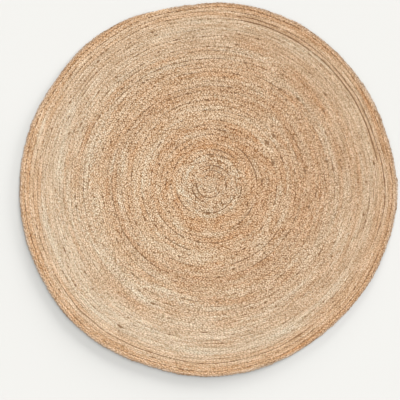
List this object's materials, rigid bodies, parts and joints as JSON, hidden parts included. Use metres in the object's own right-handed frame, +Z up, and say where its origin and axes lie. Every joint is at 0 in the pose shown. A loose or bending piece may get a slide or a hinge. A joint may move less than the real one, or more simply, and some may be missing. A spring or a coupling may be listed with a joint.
{
  "type": "round jute rug",
  "caption": "Round flat rug of one long jute braid, coiled round its own start and sewn edge to edge, with an uneven hand-made outline.",
  "frame": {"origin": "middle of the rug's length and width, on the floor that it lies on", "axes": "+Z up through the rug's thickness, +X to the right and +Y to the top of the picture, which looks straight down"},
  "size_m": [1.809, 1.7906, 0.01],
  "materials": {
    "jute": "matte natural jute, three-strand braid, pale to golden brown"
  },
  "bodies": {
    "root": {"rug": "jute"}
  },
  "joints": []
}
